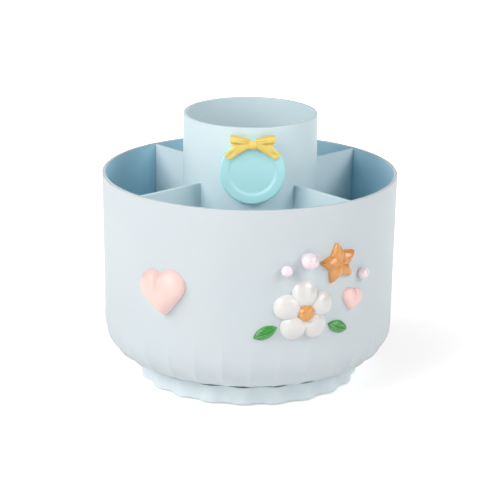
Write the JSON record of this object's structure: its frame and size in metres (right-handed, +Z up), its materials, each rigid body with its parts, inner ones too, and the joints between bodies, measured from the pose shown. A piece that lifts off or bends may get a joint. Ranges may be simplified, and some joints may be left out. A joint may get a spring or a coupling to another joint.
{
  "type": "rotating pen holder",
  "caption": "Round pale blue desk pen holder with radial dividers and a taller centre cup, turning on a scalloped base; small glued charms on the front.",
  "frame": {"origin": "on the desk surface, under the turning axis", "axes": "+Z up along the turning axis, -Y towards the front, where the dish charm is, +X to the right"},
  "size_m": [0.15, 0.1515, 0.1378],
  "materials": {
    "pale_blue_plastic": "pale blue moulded plastic, fine satin texture",
    "inner_plastic": "plain off-white moulded plastic, hidden inside",
    "bearing_steel": "polished bearing steel",
    "zinc_steel": "zinc-plated steel",
    "foot_rubber": "translucent grey silicone rubber",
    "teal_resin": "glossy pale teal cast resin",
    "yellow_resin": "satin yellow cast resin with warmer folds",
    "pink_resin": "soft pink cast resin",
    "white_resin": "glossy white cast resin",
    "caramel_resin": "glossy caramel cast resin",
    "pearl_resin": "pearl lilac cast resin",
    "green_resin": "green cast resin"
  },
  "bodies": {
    "base": {"scalloped_base": "pale_blue_plastic", "rubber_foot_1": "foot_rubber", "rubber_foot_2": "foot_rubber", "rubber_foot_3": "foot_rubber", "rubber_foot_4": "foot_rubber", "rubber_foot_5": "foot_rubber", "rubber_foot_6": "foot_rubber"},
    "cup": {"outer_cup": "pale_blue_plastic", "divider_insert": "pale_blue_plastic", "turntable_plate": "inner_plastic", "turntable_screws": "zinc_steel", "pivot_washer": "zinc_steel", "pivot_screw": "zinc_steel", "dish_charm": "teal_resin", "bow_charm": "yellow_resin", "heart_charm": "pink_resin", "small_heart_charm": "pink_resin", "flower_charm": "white_resin", "flower_centre": "caramel_resin", "star_charm": "caramel_resin", "pearl_charm_1": "pearl_resin", "pearl_charm_2": "pearl_resin", "pearl_charm_3": "pearl_resin", "leaf_charm_1": "green_resin", "leaf_charm_2": "green_resin"},
    "cage": {"ball_cage": "inner_plastic", "bearing_ball_01": "bearing_steel", "bearing_ball_02": "bearing_steel", "bearing_ball_03": "bearing_steel", "bearing_ball_04": "bearing_steel", "bearing_ball_05": "bearing_steel", "bearing_ball_06": "bearing_steel", "bearing_ball_07": "bearing_steel", "bearing_ball_08": "bearing_steel", "bearing_ball_09": "bearing_steel", "bearing_ball_10": "bearing_steel", "bearing_ball_11": "bearing_steel", "bearing_ball_12": "bearing_steel"}
  },
  "joints": [
    {"name": "cup_spin", "type": "hinge", "parent": "base", "child": "cup", "pos_m": [0, 0, 0], "axis": [0, 0, 1], "continuous": true},
    {"name": "cage_spin", "type": "hinge", "parent": "base", "child": "cage", "pos_m": [0, 0, 0], "axis": [0, 0, 1], "continuous": true}
  ],
  "couplings": [
    {"joint": "cage_spin", "follows": "cup_spin", "ratio": 0.5}
  ]
}
